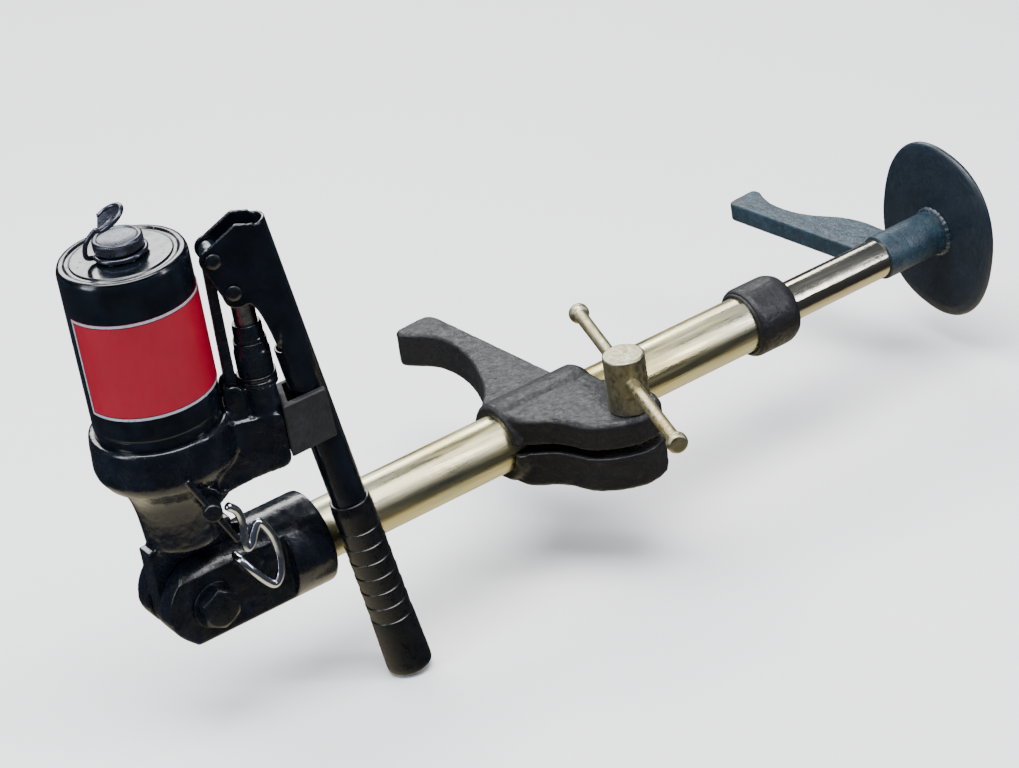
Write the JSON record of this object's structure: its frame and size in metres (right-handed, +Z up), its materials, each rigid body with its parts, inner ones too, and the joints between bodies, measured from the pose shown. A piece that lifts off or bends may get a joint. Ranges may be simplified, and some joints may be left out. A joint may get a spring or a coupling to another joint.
{
  "type": "hydraulic spreading ram with hand pump",
  "caption": "Portable hydraulic spreading ram: a hand pump with oil can on a pivoting fork, a steel ram tube with sliding hook jaw, and an end hook with round push pad.",
  "frame": {"origin": "the middle of the push pad's flat outer face", "axes": "+X along the ram, out of the push pad; +Z up, along the axis of the oil can; -Y is the side of the pivot bolt's head and of the pump lever"},
  "size_m": [0.7475, 0.3664, 0.4082],
  "materials": {
    "enamel": "gloss black enamel with a blue cast",
    "can_black": "gloss black paint",
    "label": "satin crimson band with a silver border, no lettering",
    "knurl": "blackened knurled steel",
    "vinyl": "glossy black vinyl",
    "matte_black": "matte dark grey",
    "zinc": "yellow passivated zinc",
    "chrome": "polished hard chrome",
    "cast": "black painted rough casting",
    "teal_cast": "dark teal grey paint over a rough forging",
    "pad_paint": "satin slate blue black paint",
    "steel": "bare machined steel",
    "black_steel": "blackened steel",
    "bronze": "machined bronze",
    "seal": "black rubber"
  },
  "bodies": {
    "ram_barrel": {"clevis_fork": "enamel", "ram_tube": "zinc", "gland_nut": "cast", "gland_bush": "bronze", "rod_wiper": "seal", "pivot_bolt": "black_steel", "pivot_washer_front": "black_steel", "pivot_washer_back": "black_steel", "pivot_nut": "black_steel", "spring_anchor_base": "steel", "return_spring": "steel"},
    "lock_clip": {"lock_wire": "chrome"},
    "ram": {"ram_rod": "chrome", "piston": "steel", "piston_seal": "seal", "spring_anchor_rod": "steel"},
    "hook_head": {"hook_sleeve": "teal_cast", "end_hook": "teal_cast", "push_pad": "pad_paint"},
    "jaw": {"slide_jaw": "cast"},
    "clamp": {"clamp_screw": "zinc"},
    "tommy": {"tommy_bar": "zinc"},
    "pump_head": {"base_casting": "enamel", "reservoir_can": "can_black", "can_label": "label", "can_seal": "seal", "pump_barrel": "enamel", "barrel_lock_ring": "enamel", "plunger_gland": "enamel", "link_pin": "black_steel", "suction_plug": "black_steel", "delivery_plug": "black_steel", "handle_clip": "matte_black", "clip_screw_1": "black_steel", "clip_screw_2": "black_steel"},
    "suction_valve": {"suction_ball": "steel"},
    "delivery_valve": {"delivery_ball": "steel"},
    "cap": {"filler_cap": "knurl"},
    "cap_clip": {"cap_wire": "black_steel"},
    "link": {"fulcrum_link": "enamel"},
    "piston_pump": {"plunger": "steel"},
    "lever": {"pump_lever": "enamel", "lever_grip": "vinyl", "fulcrum_pin": "black_steel", "plunger_pin": "black_steel"},
    "valve": {"release_valve": "black_steel", "valve_bar": "black_steel"}
  },
  "joints": [
    {"name": "head_tilt", "type": "hinge", "parent": "ram_barrel", "child": "pump_head", "pos_m": [-0.697, 0, 0], "axis": [0, -1, 0], "range_deg": [0, 90]},
    {"name": "ram_slide", "type": "slide", "parent": "ram_barrel", "child": "ram", "axis": [1, 0, 0], "range_m": [-0.08, 0.15], "deforming": ["return_spring"]},
    {"name": "hook_turn", "type": "hinge", "parent": "ram", "child": "hook_head", "pos_m": [-0.05, 0, 0], "axis": [1, 0, 0], "continuous": true},
    {"name": "jaw_slide", "type": "slide", "parent": "ram_barrel", "child": "jaw", "axis": [1, 0, 0], "range_m": [-0.06, 0.1]},
    {"name": "clamp_turn", "type": "hinge", "parent": "jaw", "child": "clamp", "pos_m": [-0.367, -0.074, 0.02], "axis": [0, 0, 1], "range_deg": [-180, 180]},
    {"name": "tommy_slide", "type": "slide", "parent": "clamp", "child": "tommy", "axis": [0.309, 0.9511, 0], "range_m": [-0.08, 0.08]},
    {"name": "clip_swing", "type": "hinge", "parent": "ram_barrel", "child": "lock_clip", "pos_m": [-0.673, -0.02, 0.026], "axis": [0, 1, 0], "range_deg": [0, 25]},
    {"name": "cap_turn", "type": "hinge", "parent": "pump_head", "child": "cap", "pos_m": [-0.697, 0, 0.27], "axis": [0, 0, 1], "range_deg": [0, 540]},
    {"name": "cap_clip_turn", "type": "hinge", "parent": "pump_head", "child": "cap_clip", "pos_m": [-0.697, 0, 0.2676], "axis": [0, 0, 1], "range_deg": [-60, 60]},
    {"name": "suction_lift", "type": "slide", "parent": "pump_head", "child": "suction_valve", "axis": [0, 0, 1], "range_m": [0, 0.0015]},
    {"name": "delivery_lift", "type": "slide", "parent": "pump_head", "child": "delivery_valve", "axis": [0, 0, 1], "range_m": [0, 0.0015]},
    {"name": "release_turn", "type": "hinge", "parent": "pump_head", "child": "valve", "pos_m": [-0.67846, -0.00749, 0.092], "axis": [-0.3746, -0.9272, 0], "range_deg": [0, 180]},
    {"name": "lever_swing", "type": "hinge", "parent": "link", "child": "lever", "pos_m": [-0.64415, -0.02135, 0.252], "axis": [-0.3746, -0.9272, 0], "range_deg": [0, 34]},
    {"name": "link_swing", "type": "hinge", "parent": "pump_head", "child": "link", "pos_m": [-0.64879, -0.01948, 0.15], "axis": [-0.3746, -0.9272, 0], "range_deg": [0, 0.7]},
    {"name": "plunger_slide", "type": "slide", "parent": "pump_head", "child": "piston_pump", "axis": [0, 0, 1], "range_m": [0, 0.0093]}
  ],
  "couplings": [
    {"joint": "link_swing", "follows": "lever_swing", "ratio": 0.020588},
    {"joint": "plunger_slide", "follows": "lever_swing", "m_per_rad": 0.015672}
  ]
}
